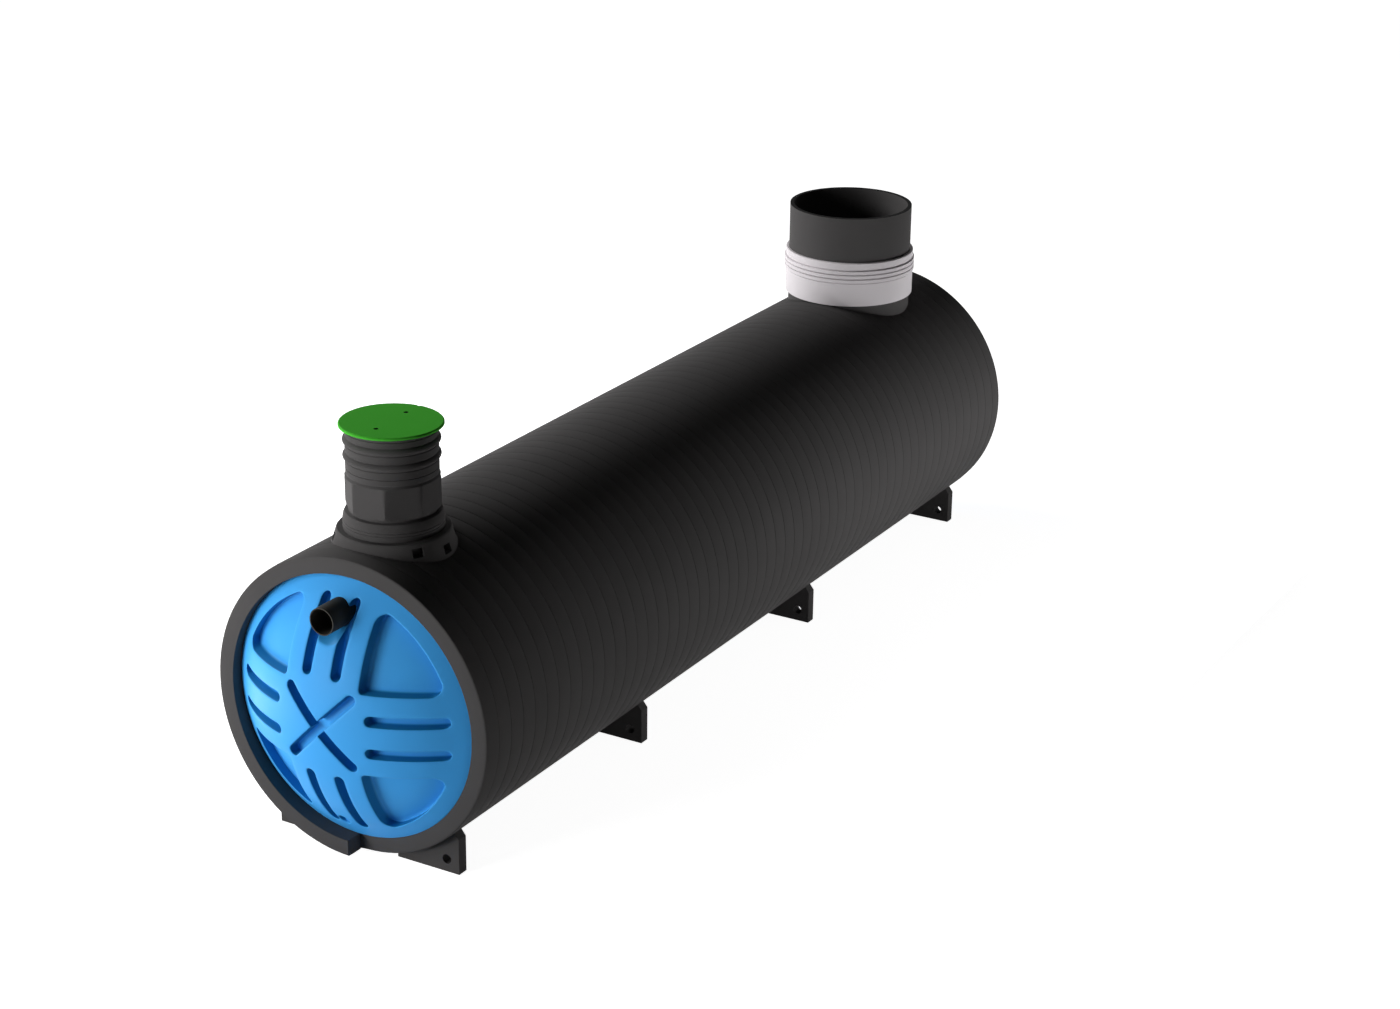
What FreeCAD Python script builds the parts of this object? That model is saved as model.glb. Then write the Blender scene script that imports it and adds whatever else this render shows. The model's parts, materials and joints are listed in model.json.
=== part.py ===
import FreeCAD, Part
import Sketcher
import math
import os

os.makedirs("parts", exist_ok=True)
doc = FreeCAD.newDocument("WaterTank")
V = FreeCAD.Vector

# Driving dimensions in millimetres and degrees
SIZES = {
    "tank_outer_r": 896,
    "tank_inner_r": 795,
    "wind_pitch": 120,
    "wind_turns": 55,
    "crown_angle": 90,
    "crown_split_front": 900,
    "crown_split_rear": 5300,
    "mid_y": 3240,
    "foot_drop": 27,
    "foot_half_span": 624,
    "foot_inner_x": 204,
    "foot_side_h": 218,
    "foot_top_x": 596,
    "foot_thick": 70,
    "foot_hole_x": 541,
    "foot_hole_h": 78,
    "foot_hole_r": 29,
    "foot_y1": 72,
    "foot_y2": 2027,
    "foot_y3": 4190,
    "foot_y4": 6358,
    "dome_r": 1041,
    "dome_proud": 297.5,
    "flank_top_r": 660,
    "flank_rise": 109.4,
    "flank_back": 49,
    "cap_skin": 12,
    "cap_skirt_y": 190,
    "recess_depth": 76,
    "slot_offset": 97,
    "slot_start": 286,
    "slot_end": 698,
    "slot_w": 62,
    "bar_reach": 311,
    "bar_w": 62,
    "sector_edge": 242,
    "sector_r": 711,
    "sector_round_r": 26,
    "sector_tip_r": 48,
    "inlet_z": 608,
    "inlet_outer_r": 80,
    "inlet_wall": 6.5,
    "inlet_front_y": -281,
    "inlet_back_y": 60,
    "funnel_low_r": 68,
    "funnel_top_r": 209,
    "funnel_y": -94,
    "funnel_depth": 266,
    "dimple_x": -22,
    "dimple_z": -667,
    "dimple_r": 33,
    "dimple_y": -74,
    "riser_y": 400,
    "riser_turn": 3.7,
    "riser_foot_z": 800,
    "riser_seat_z": 945,
    "riser_ring_r": 284,
    "riser_ring_top_z": 1045,
    "riser_groove_z": 1060,
    "riser_groove_r": 258,
    "riser_barrel_low_z": 1072,
    "riser_barrel_high_z": 1240,
    "riser_barrel_r": 270,
    "riser_flat_r": 249.5,
    "riser_neck_z": 1262,
    "riser_neck_r": 259.5,
    "riser_bore_r": 240,
    "riser_rib_proud": 12.8,
    "riser_rib_half": 21.3,
    "riser_rib_low_z": 1367,
    "riser_rib_high_z": 1458,
    "riser_top_z": 1541,
    "ring_line_z": 978,
    "ring_line_step": 18,
    "neck_line_z": 1304,
    "neck_line_step": 23,
    "line_depth": 3,
    "line_half": 3,
    "lid_r": 292,
    "lid_thick": 15,
    "lid_plug_r": 238,
    "lid_plug_depth": 25,
    "lid_bevel": 6,
    "lid_hole_y": 153,
    "lid_hole_r": 13,
    "lid_nick_w": 26,
    "lid_nick_depth": 14,
    "saddle_bore_r": 263,
    "saddle_top_r": 316,
    "saddle_shoulder_r": 322,
    "saddle_shoulder_z": 938,
    "saddle_skirt_r": 366,
    "saddle_low_z": 800,
    "saddle_window_w": 64,
    "saddle_window_low_z": 842,
    "saddle_window_rise": 27,
    "saddle_window_h": 50,
    "saddle_window_depth": 22,
    "saddle_window_step": 35,
    "shaft_y": 5858,
    "shaft_outer_r": 426,
    "shaft_inner_r": 398,
    "shaft_top_z": 1523,
    "shaft_joint_z": 1052,
    "collar_low_z": 902,
    "collar_top_z": 1211,
    "collar_outer_r": 447,
    "collar_ridge_r": 456,
    "collar_ridge_low_z": 1065,
    "collar_ridge_step": 31,
    "collar_groove_w": 9,
    "collar_stop_h": 6,
    "collar_stop_r": 406,
}

sheet = doc.addObject("Spreadsheet::Sheet", "Sizes")
for row, (alias, value) in enumerate(SIZES.items(), start=1):
    sheet.set("A%d" % row, alias)
    sheet.set("B%d" % row, str(value))
    sheet.setAlias("B%d" % row, alias)
doc.recompute()

# Shared expressions and directions
AXIS_Z = "(Sizes.tank_outer_r + Sizes.foot_drop)"
PIPE_LEN = "(Sizes.wind_pitch * Sizes.wind_turns)"
MID_Y = "Sizes.mid_y"
ALONG_Y = FreeCAD.Rotation(V(0, 0, -1), V(-1, 0, 0), V(0, 1, 0), "ZXY")
UPRIGHT = FreeCAD.Rotation()


def bind(obj, **expressions):
    """Bind properties to sheet expressions; a dot in a property path is written as two underscores."""
    for path, text in expressions.items():
        obj.setExpression(path.replace("__", "."), text)


def place(obj, x="0", y="0", z="0", rotation=UPRIGHT):
    """Place an object at sheet expressions given in the tank's own frame, measured from its axis."""
    obj.Placement = FreeCAD.Placement(V(0, 0, 0), rotation)
    obj.setExpression("Placement.Base.x", x)
    obj.setExpression("Placement.Base.y", "(%s) - %s" % (y, MID_Y))
    obj.setExpression("Placement.Base.z", "(%s) + %s" % (z, AXIS_Z))


def cylinder(name, radius, height, x="0", y="0", z="0", rotation=UPRIGHT):
    obj = doc.addObject("Part::Cylinder", name)
    bind(obj, Radius=radius, Height=height)
    place(obj, x, y, z, rotation)
    return obj


def sphere(name, radius, y):
    obj = doc.addObject("Part::Sphere", name)
    bind(obj, Radius=radius)
    place(obj, y=y)
    return obj


def cut(name, base, tool):
    obj = doc.addObject("Part::Cut", name)
    obj.Base = base
    obj.Tool = tool
    return obj


def fuse(name, shapes):
    obj = doc.addObject("Part::MultiFuse", name)
    obj.Shapes = shapes
    return obj


def common(name, shapes):
    obj = doc.addObject("Part::MultiCommon", name)
    obj.Shapes = shapes
    return obj


def new_body(name):
    return doc.addObject("PartDesign::Body", name)


def origin_feature(body, role):
    return [item for item in body.Origin.OriginFeatures if item.Role == role][0]


def plane_sketch(body, name, role):
    sketch = body.newObject("Sketcher::SketchObject", name)
    sketch.AttachmentSupport = [(origin_feature(body, role), "")]
    sketch.MapMode = "FlatFace"
    return sketch


def sheet_value(expression):
    """Present value of an expression, for a sketch's starting geometry."""
    return float(sheet.evalExpression(expression.replace("Sizes.", "")))


def add_dimension(sketch, kind, expression, *refs):
    """Add a driving constraint whose value follows a sheet expression."""
    index = sketch.addConstraint(Sketcher.Constraint(kind, *refs, sheet_value(expression)))
    sketch.setExpression("Constraints[%d]" % index, expression)


def relation(sketch, kind, *refs):
    sketch.addConstraint(Sketcher.Constraint(kind, *refs))


def polygon(sketch, corners):
    """Closed outline through corners given as pairs of sheet expressions."""
    points = [V(sheet_value(x), sheet_value(y), 0) for x, y in corners]
    count = len(points)
    for index in range(count):
        sketch.addGeometry(Part.LineSegment(points[index], points[(index + 1) % count]), False)
    for index in range(count):
        relation(sketch, "Coincident", index, 2, (index + 1) % count, 1)
    for index, (x, y) in enumerate(corners):
        add_dimension(sketch, "DistanceX", x, -1, 1, index, 1)
        add_dimension(sketch, "DistanceY", y, -1, 1, index, 1)


def stadium(sketch, x, low, high, width):
    """Slot outline with round ends, upright at x, from low to high over its ends."""
    radius = "(%s) / 2" % width
    px = sheet_value(x)
    pr = sheet_value(radius)
    py0 = sheet_value(low) + pr
    py1 = sheet_value(high) - pr
    first = sketch.GeometryCount
    normal = V(0, 0, 1)
    sketch.addGeometry(Part.ArcOfCircle(Part.Circle(V(px, py0, 0), normal, pr), math.pi, 2 * math.pi), False)
    sketch.addGeometry(Part.LineSegment(V(px + pr, py0, 0), V(px + pr, py1, 0)), False)
    sketch.addGeometry(Part.ArcOfCircle(Part.Circle(V(px, py1, 0), normal, pr), 0, math.pi), False)
    sketch.addGeometry(Part.LineSegment(V(px - pr, py1, 0), V(px - pr, py0, 0)), False)
    for index in range(4):
        relation(sketch, "Tangent", first + index, 2, first + (index + 1) % 4, 1)
    add_dimension(sketch, "DistanceX", x, -1, 1, first, 3)
    add_dimension(sketch, "DistanceY", "(%s) + %s" % (low, radius), -1, 1, first, 3)
    add_dimension(sketch, "DistanceX", x, -1, 1, first + 2, 3)
    add_dimension(sketch, "DistanceY", "(%s) - %s" % (high, radius), -1, 1, first + 2, 3)
    add_dimension(sketch, "Radius", radius, first)
    add_dimension(sketch, "Radius", radius, first + 2)


def pad(body, sketch, name, length):
    feature = body.newObject("PartDesign::Pad", name)
    feature.Profile = sketch
    bind(feature, Length=length)
    return feature


def polar(body, features, name, role, count):
    feature = body.newObject("PartDesign::PolarPattern", name)
    feature.Originals = features
    feature.Axis = (origin_feature(body, role), [""])
    feature.Angle = 360
    feature.Occurrences = count
    body.Tip = feature


def turned_body(name, corners, y):
    """Body turned about an upright axis at y, from an outline of radius and height pairs."""
    body = new_body(name)
    sketch = plane_sketch(body, name + "_profile", "XZ_Plane")
    polygon(sketch, corners)
    feature = body.newObject("PartDesign::Revolution", name + "_turn")
    feature.Profile = sketch
    feature.ReferenceAxis = (sketch, ["V_Axis"])
    feature.Angle = 360
    place(body, y=y)
    return body


# Wound pipe: a tube whose two ends follow one turn of the winding, with a step at the bottom
def winding_cutters(name, start_y, behind):
    """Two half-turn sweeps whose faces follow the winding; behind shifts the section along the axis."""
    sweeps = []
    for index, up in enumerate((-1, 1)):
        begin = "%s + %d * Sizes.wind_pitch / 2" % (start_y, index)
        radial = V(0, 0, up)
        axial = V(0, 1, 0)
        spine = doc.addObject("Part::Helix", "%s_spine_%d" % (name, index))
        bind(spine, Pitch="Sizes.wind_pitch", Height="Sizes.wind_pitch / 2", Radius="Sizes.tank_outer_r")
        place(spine, y=begin, rotation=FreeCAD.Rotation(radial, axial.cross(radial), axial, "ZXY"))
        section = doc.addObject("Part::Plane", "%s_section_%d" % (name, index))
        bind(section, Length="Sizes.tank_outer_r - Sizes.tank_inner_r + 80", Width="1.3 * Sizes.wind_pitch")
        place(
            section,
            y="%s - %s * Sizes.wind_pitch" % (begin, behind),
            z="%d * (Sizes.tank_inner_r - 40)" % up,
            rotation=FreeCAD.Rotation(radial, axial, radial.cross(axial), "ZXY"),
        )
        sweep = doc.addObject("Part::Sweep", "%s_sweep_%d" % (name, index))
        sweep.Sections = [section]
        sweep.Spine = (spine, ["Edge1"])
        sweep.Solid = True
        sweep.Frenet = True
        sweeps.append(sweep)
    return sweeps


tank_blank = cylinder(
    "tank_blank", "Sizes.tank_outer_r", PIPE_LEN + " + Sizes.wind_pitch", y="-Sizes.wind_pitch",
    rotation=ALONG_Y,
)
tank_bore = cylinder(
    "tank_bore", "Sizes.tank_inner_r", PIPE_LEN + " + 3 * Sizes.wind_pitch", y="-2 * Sizes.wind_pitch",
    rotation=ALONG_Y,
)
riser_hole = cylinder("riser_hole", "Sizes.saddle_bore_r + 2", "Sizes.tank_outer_r", y="Sizes.riser_y")
shaft_hole = cylinder("shaft_hole", "Sizes.shaft_inner_r", "Sizes.tank_outer_r", y="Sizes.shaft_y")
front_cutters = winding_cutters("front_end", "-Sizes.wind_pitch", "1.3")
rear_cutters = winding_cutters("rear_end", PIPE_LEN + " - Sizes.wind_pitch", "0")
tank_pipe = cut("tank_tube", tank_blank, tank_bore)
tank_pipe = cut("tank_drilled_front", tank_pipe, riser_hole)
tank_pipe = cut("tank_drilled_rear", tank_pipe, shaft_hole)
for number, cutter in enumerate(front_cutters + rear_cutters, start=1):
    tank_pipe = cut("tank_end_%d" % number, tank_pipe, cutter)


# The pipe's wall in staves, angles counted about the axis from the bottom by way of the left side
def wall_piece(name, start, sweep, low, high):
    """Part of the wall between two angles, from low to high along the axis."""
    turned = ALONG_Y.multiply(FreeCAD.Rotation(V(0, 0, 1), sheet_value(start)))
    wedge = cylinder(
        name + "_wedge", "Sizes.tank_outer_r + 60", "(%s) - (%s)" % (high, low), y=low, rotation=turned
    )
    bind(wedge, Angle=sweep)
    return common(name + "_part", [tank_pipe, wedge])


SIDE_STAVES = 6
STAVE_ANGLE = "(180 - Sizes.crown_angle / 2) / %d" % SIDE_STAVES
FRONT_LIMIT = "-2 * Sizes.wind_pitch"
REAR_LIMIT = PIPE_LEN + " + 2 * Sizes.wind_pitch"
wall_pieces = {}
for number in range(1, SIDE_STAVES + 1):
    starts = {
        "left": "180 - Sizes.crown_angle / 2 - %d * %s" % (number, STAVE_ANGLE),
        "right": "180 + Sizes.crown_angle / 2 + %d * %s" % (number - 1, STAVE_ANGLE),
    }
    for side, start in starts.items():
        node = "pipe_wall_%s_%d" % (side, number)
        wall_pieces[node] = wall_piece(node, start, STAVE_ANGLE, FRONT_LIMIT, REAR_LIMIT)
crown_limits = [FRONT_LIMIT, "Sizes.crown_split_front", "Sizes.crown_split_rear", REAR_LIMIT]
for index, word in enumerate(("front", "middle", "rear")):
    node = "pipe_crown_" + word
    wall_pieces[node] = wall_piece(
        node, "180 - Sizes.crown_angle / 2", "Sizes.crown_angle", crown_limits[index], crown_limits[index + 1]
    )


# Moulded end caps: a dome with recessed slots, sectors and a diagonal cross
def sector(sketch, edge, rim, rounding, tip):
    """Sector between two lines at edge from the axes and an arc at rim, with rounded corners and tips."""
    near = sheet_value(edge)
    far_r = sheet_value(rim)
    small_r = sheet_value(rounding)
    tip_r = sheet_value(tip)
    root = near + small_r
    inner = near + tip_r
    outer = math.sqrt((far_r - tip_r) ** 2 - inner ** 2)
    slant = math.atan2(inner, outer)

    def arc(x, y, radius, begin, end):
        circle = Part.Circle(V(x, y, 0), V(0, 0, 1), radius)
        sketch.addGeometry(Part.ArcOfCircle(circle, begin, end), False)

    sketch.addGeometry(Part.LineSegment(V(near, outer, 0), V(near, root, 0)), False)
    arc(root, root, small_r, math.pi, 1.5 * math.pi)
    sketch.addGeometry(Part.LineSegment(V(root, near, 0), V(outer, near, 0)), False)
    arc(outer, inner, tip_r, -math.pi / 2, slant)
    arc(0, 0, far_r, slant, math.pi / 2 - slant)
    arc(inner, outer, tip_r, math.pi / 2 - slant, math.pi)
    for index in range(6):
        relation(sketch, "Tangent", index, 2, (index + 1) % 6, 1)
    relation(sketch, "Coincident", 4, 3, -1, 1)
    relation(sketch, "Vertical", 0)
    relation(sketch, "Horizontal", 2)
    add_dimension(sketch, "DistanceX", edge, -1, 1, 0, 1)
    add_dimension(sketch, "DistanceY", edge, -1, 1, 2, 1)
    add_dimension(sketch, "Radius", rim, 4)
    add_dimension(sketch, "Radius", rounding, 1)
    for index in (3, 5):
        add_dimension(sketch, "Radius", tip, index)


def recess_prisms(name):
    """Prisms of the recess outlines along the tank axis."""
    body = new_body(name)
    length = "Sizes.dome_proud + 260"
    slots = plane_sketch(body, name + "_slots", "XZ_Plane")
    for side in ("Sizes.slot_offset", "-Sizes.slot_offset"):
        stadium(slots, side, "Sizes.slot_start", "Sizes.slot_end", "Sizes.slot_w")
    slot_pad = pad(body, slots, name + "_slot_pad", length)
    polar(body, [slot_pad], name + "_slot_ring", "Y_Axis", 4)
    corner = plane_sketch(body, name + "_sector", "XZ_Plane")
    sector(corner, "Sizes.sector_edge", "Sizes.sector_r", "Sizes.sector_round_r", "Sizes.sector_tip_r")
    sector_pad = pad(body, corner, name + "_sector_pad", length)
    polar(body, [sector_pad], name + "_sector_ring", "Y_Axis", 4)
    bar = plane_sketch(body, name + "_bar", "XZ_Plane")
    bar.AttachmentOffset = FreeCAD.Placement(V(0, 0, 0), FreeCAD.Rotation(V(0, 0, 1), 45))
    stadium(bar, "0", "-Sizes.bar_reach", "Sizes.bar_reach", "Sizes.bar_w")
    bar_pad = pad(body, bar, name + "_bar_pad", length)
    polar(body, [bar_pad], name + "_bar_cross", "Y_Axis", 4)
    return body


def end_cap(name, front):
    """Dome with a straight flank and recesses; the front one has a dimple and a funnel for the inlet."""
    sign = 1 if front else -1
    facing = UPRIGHT if front else FreeCAD.Rotation(V(0, 0, 1), 180)
    outward = FreeCAD.Rotation(V(1, 0, 0), 90 * sign)
    end_y = "(-Sizes.wind_pitch / 2)" if front else "(%s - Sizes.wind_pitch / 2)" % PIPE_LEN
    centre_y = "%s + %d * (Sizes.dome_r - Sizes.dome_proud)" % (end_y, sign)
    skirt_y = "%s + %d * Sizes.cap_skirt_y" % (end_y, sign)
    drum_len = "Sizes.cap_skirt_y + Sizes.dome_proud + 40"
    domes = []
    for label, ball_r, drum_r in (
        ("outer", "Sizes.dome_r", "Sizes.tank_inner_r"),
        ("inner", "Sizes.dome_r - Sizes.recess_depth - Sizes.cap_skin", "Sizes.tank_inner_r - Sizes.cap_skin"),
    ):
        ball = sphere("%s_%s_ball" % (name, label), ball_r, centre_y)
        drum = cylinder("%s_%s_drum" % (name, label), drum_r, drum_len, y=skirt_y, rotation=outward)
        domes.append(common("%s_%s_dome" % (name, label), [ball, drum]))
    flank = doc.addObject("Part::Cone", name + "_flank")
    bind(flank, Radius1="Sizes.tank_inner_r", Radius2="Sizes.flank_top_r", Height="Sizes.flank_rise")
    place(flank, y="%s + %d * Sizes.flank_back" % (end_y, sign), rotation=outward)
    skirt_len = "Sizes.cap_skirt_y - Sizes.flank_back"
    skirt = cylinder(name + "_skirt", "Sizes.tank_inner_r", skirt_len, y=skirt_y, rotation=outward)
    outside = fuse(name + "_outside", [domes[0], flank, skirt])
    prisms = recess_prisms(name + "_prisms")
    place(prisms, y="%s + %d * 200" % (end_y, sign), rotation=facing)
    floor = sphere(name + "_floor", "Sizes.dome_r", "%s + %d * Sizes.recess_depth" % (centre_y, sign))
    cap = cut(name + "_skin", outside, domes[1])
    cap = cut(name + "_recessed", cap, cut(name + "_tool", prisms, floor))
    if front:
        funnel = doc.addObject("Part::Cone", name + "_funnel")
        bind(funnel, Radius1="Sizes.funnel_low_r", Radius2="Sizes.funnel_top_r", Height="Sizes.funnel_depth")
        place(funnel, y="Sizes.funnel_y", z="Sizes.inlet_z", rotation=outward)
        cap = cut(name + "_funnelled", cap, funnel)
        dimple = cylinder(
            name + "_dimple", "Sizes.dimple_r", "Sizes.dome_proud",
            x="Sizes.dimple_x", y="Sizes.dimple_y", z="Sizes.dimple_z", rotation=outward,
        )
        cap = cut(name + "_dimpled", cap, dimple)
        hole = cylinder(
            name + "_inlet_hole", "Sizes.inlet_outer_r", "800", y="Sizes.inlet_back_y + 300", z="Sizes.inlet_z",
            rotation=outward,
        )
        cap = cut(name + "_drilled", cap, hole)
    return cap


front_cap = end_cap("front_cap", True)
rear_cap = end_cap("rear_cap", False)

# Inlet pipe stub through the front cap
INLET_LEN = "Sizes.inlet_back_y - Sizes.inlet_front_y"
inlet_round = cylinder(
    "inlet_round", "Sizes.inlet_outer_r", INLET_LEN, y="Sizes.inlet_front_y",
    z="Sizes.inlet_z", rotation=ALONG_Y,
)
inlet_bore = cylinder(
    "inlet_bore", "Sizes.inlet_outer_r - Sizes.inlet_wall", INLET_LEN + " + 20", y="Sizes.inlet_front_y - 10",
    z="Sizes.inlet_z", rotation=ALONG_Y,
)
inlet_pipe = cut("inlet_tube", inlet_round, inlet_bore)

# Riser saddle on the crown of the pipe: a low flange with square pockets in both sides of its skirt
saddle_turned = turned_body("saddle_turned", [
    ("Sizes.saddle_bore_r", "Sizes.saddle_low_z"),
    ("Sizes.saddle_skirt_r", "Sizes.saddle_low_z"),
    ("Sizes.saddle_shoulder_r", "Sizes.saddle_shoulder_z"),
    ("Sizes.saddle_top_r", "Sizes.riser_seat_z"),
    ("Sizes.saddle_bore_r", "Sizes.riser_seat_z"),
], "Sizes.riser_y")
saddle = cut("saddle_trimmed", saddle_turned, tank_blank)
for number in range(6):
    window = doc.addObject("Part::Box", "saddle_window_%d" % number)
    bind(window, Length="Sizes.saddle_window_depth + 80")
    bind(window, Width="Sizes.saddle_window_w", Height="Sizes.saddle_window_h")
    place_in_row = number % 3 - 1
    half_turn = 180 * (number // 3)
    angle = "(Sizes.riser_turn + %d * Sizes.saddle_window_step + %d) * 1 deg" % (place_in_row, half_turn)
    reach = "(Sizes.saddle_shoulder_r - Sizes.saddle_window_depth)"
    half = "(Sizes.saddle_window_w / 2)"
    place(
        window,
        x="%s * cos(%s) + %s * sin(%s)" % (reach, angle, half, angle),
        y="Sizes.riser_y + %s * sin(%s) - %s * cos(%s)" % (reach, angle, half, angle),
        z="Sizes.saddle_window_low_z + %d * Sizes.saddle_window_rise" % abs(place_in_row),
        rotation=FreeCAD.Rotation(V(0, 0, 1), 1),
    )
    bind(window, Placement__Rotation__Angle=angle)
    saddle = cut("saddle_cut_%d" % number, saddle, window)

# Riser neck: seat ring, barrel with eight flats, fine grooves, two rolled ribs
RIB_STEPS = 5


def rib_outline(centre_z):
    """Outline of one rolled rib on the neck, from below to above."""
    points = []
    for step in range(RIB_STEPS + 1):
        share = 2 * step / RIB_STEPS - 1
        radius = "Sizes.riser_neck_r + %.2f * Sizes.riser_rib_proud" % (1 - share ** 2)
        points.append((radius, "%s + %.1f * Sizes.riser_rib_half" % (centre_z, share)))
    return points


def fine_line(radius, centre_z):
    """Outline of one fine groove round the neck, from below to above."""
    return [
        (radius, centre_z + " - Sizes.line_half"),
        (radius + " - Sizes.line_depth", centre_z),
        (radius, centre_z + " + Sizes.line_half"),
    ]


riser_turned = turned_body("riser_turned", [
    ("Sizes.riser_bore_r", "Sizes.riser_foot_z"),
    ("Sizes.riser_groove_r", "Sizes.riser_foot_z"),
    ("Sizes.riser_groove_r", "Sizes.riser_seat_z"),
    ("Sizes.riser_ring_r", "Sizes.riser_seat_z"),
    *fine_line("Sizes.riser_ring_r", "Sizes.ring_line_z"),
    *fine_line("Sizes.riser_ring_r", "Sizes.ring_line_z + Sizes.ring_line_step"),
    ("Sizes.riser_ring_r - 5", "Sizes.riser_ring_top_z - 18"),
    ("Sizes.riser_ring_r - 14", "Sizes.riser_ring_top_z"),
    ("Sizes.riser_groove_r", "Sizes.riser_groove_z - 8"),
    ("Sizes.riser_groove_r", "Sizes.riser_groove_z"),
    ("Sizes.riser_barrel_r", "Sizes.riser_barrel_low_z"),
    ("Sizes.riser_barrel_r", "Sizes.riser_barrel_high_z"),
    ("Sizes.riser_neck_r - 4", "Sizes.riser_neck_z"),
    ("Sizes.riser_neck_r", "Sizes.riser_neck_z + 8"),
    *fine_line("Sizes.riser_neck_r", "Sizes.neck_line_z"),
    *fine_line("Sizes.riser_neck_r", "Sizes.neck_line_z + Sizes.neck_line_step"),
    *rib_outline("Sizes.riser_rib_low_z"),
    *rib_outline("Sizes.riser_rib_high_z"),
    ("Sizes.riser_neck_r", "Sizes.riser_top_z"),
    ("Sizes.riser_bore_r", "Sizes.riser_top_z"),
], "Sizes.riser_y")
FLAT_H = "Sizes.riser_barrel_high_z + 8 - Sizes.riser_groove_z"
flat_drum = cylinder(
    "flat_drum", "Sizes.riser_barrel_r + 40", FLAT_H, y="Sizes.riser_y", z="Sizes.riser_groove_z"
)
flat_prism = doc.addObject("Part::Prism", "flat_prism")
flat_prism.Polygon = 8
bind(flat_prism, Circumradius="Sizes.riser_flat_r / cos(22.5 deg)", Height=FLAT_H)
place(flat_prism, y="Sizes.riser_y", z="Sizes.riser_groove_z", rotation=FreeCAD.Rotation(V(0, 0, 1), 1))
bind(flat_prism, Placement__Rotation__Angle="(Sizes.riser_turn + 22.5) * 1 deg")
riser_neck = cut("riser_faceted", riser_turned, cut("flat_tool", flat_drum, flat_prism))

# The neck's round wall in four quarters
neck_quarters = {}
for index, word in enumerate(("right", "rear", "left", "front")):
    node = "riser_neck_" + word
    quarter = cylinder(
        node + "_wedge", "Sizes.riser_ring_r + 60", "Sizes.riser_top_z - Sizes.riser_foot_z + 40",
        y="Sizes.riser_y", z="Sizes.riser_foot_z - 20", rotation=FreeCAD.Rotation(V(0, 0, 1), 90 * index - 45),
    )
    quarter.Angle = 90
    neck_quarters[node] = common(node + "_part", [riser_neck, quarter])

# Lid with a plug rim and two lifting holes
lid = turned_body("lid_turned", [
    ("0", "Sizes.riser_top_z - Sizes.lid_plug_depth"),
    ("Sizes.lid_plug_r", "Sizes.riser_top_z - Sizes.lid_plug_depth"),
    ("Sizes.lid_plug_r", "Sizes.riser_top_z"),
    ("Sizes.lid_r", "Sizes.riser_top_z"),
    ("Sizes.lid_r", "Sizes.riser_top_z + Sizes.lid_thick - Sizes.lid_bevel"),
    ("Sizes.lid_r - Sizes.lid_bevel", "Sizes.riser_top_z + Sizes.lid_thick"),
    ("0", "Sizes.riser_top_z + Sizes.lid_thick"),
], "Sizes.riser_y")
for number, side in enumerate((-1, 1)):
    lid_hole = cylinder(
        "lid_hole_%d" % number, "Sizes.lid_hole_r", "200",
        x="%d * Sizes.lid_hole_y * sin(Sizes.riser_turn * 1 deg)" % -side,
        y="Sizes.riser_y + %d * Sizes.lid_hole_y * cos(Sizes.riser_turn * 1 deg)" % side,
        z="Sizes.riser_top_z - 100",
    )
    lid = cut("lid_cut_%d" % number, lid, lid_hole)
NICK_TURN = "(90 + Sizes.riser_turn) * 1 deg"
lid_nick = cylinder(
    "lid_nick", "Sizes.lid_nick_w / 2", "200",
    x="(Sizes.lid_r - Sizes.lid_nick_depth + Sizes.lid_nick_w / 2) * cos(%s)" % NICK_TURN,
    y="Sizes.riser_y + (Sizes.lid_r - Sizes.lid_nick_depth + Sizes.lid_nick_w / 2) * sin(%s)" % NICK_TURN,
    z="Sizes.riser_top_z - 100",
)
lid = cut("lid_nicked", lid, lid_nick)

# Access shaft: stub on the crown, open pipe above it, ridged sleeve over their joint
STOP_LOW = "Sizes.shaft_joint_z - Sizes.collar_stop_h / 2"
STOP_HIGH = "Sizes.shaft_joint_z + Sizes.collar_stop_h / 2"
shaft_stub_tube = turned_body("shaft_stub_tube", [
    ("Sizes.shaft_inner_r", "Sizes.tank_outer_r - 160"),
    ("Sizes.shaft_outer_r", "Sizes.tank_outer_r - 160"),
    ("Sizes.shaft_outer_r", STOP_LOW),
    ("Sizes.shaft_inner_r", STOP_LOW),
], "Sizes.shaft_y")
shaft_stub = cut("shaft_stub_trimmed", shaft_stub_tube, tank_blank)
shaft_pipe = turned_body("shaft_tube", [
    ("Sizes.shaft_inner_r", STOP_HIGH),
    ("Sizes.shaft_outer_r", STOP_HIGH),
    ("Sizes.shaft_outer_r", "Sizes.shaft_top_z"),
    ("Sizes.shaft_inner_r", "Sizes.shaft_top_z"),
], "Sizes.shaft_y")
SLEEVE_R = "Sizes.shaft_outer_r + 0.5"
GROOVE_R = "Sizes.collar_outer_r - 8"
collar_outline = [
    (SLEEVE_R, "Sizes.collar_low_z"),
    ("Sizes.collar_outer_r", "Sizes.collar_low_z"),
]
for number in range(4):
    groove_z = "Sizes.collar_ridge_low_z + %d * Sizes.collar_ridge_step" % number
    groove_low = groove_z + " - Sizes.collar_groove_w / 2"
    groove_high = groove_z + " + Sizes.collar_groove_w / 2"
    below_r = "Sizes.collar_outer_r" if number == 0 else "Sizes.collar_ridge_r"
    above_r = "Sizes.collar_outer_r" if number == 3 else "Sizes.collar_ridge_r"
    collar_outline.append((below_r, groove_low))
    collar_outline.append((GROOVE_R, groove_z))
    collar_outline.append((above_r, groove_high))
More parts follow.
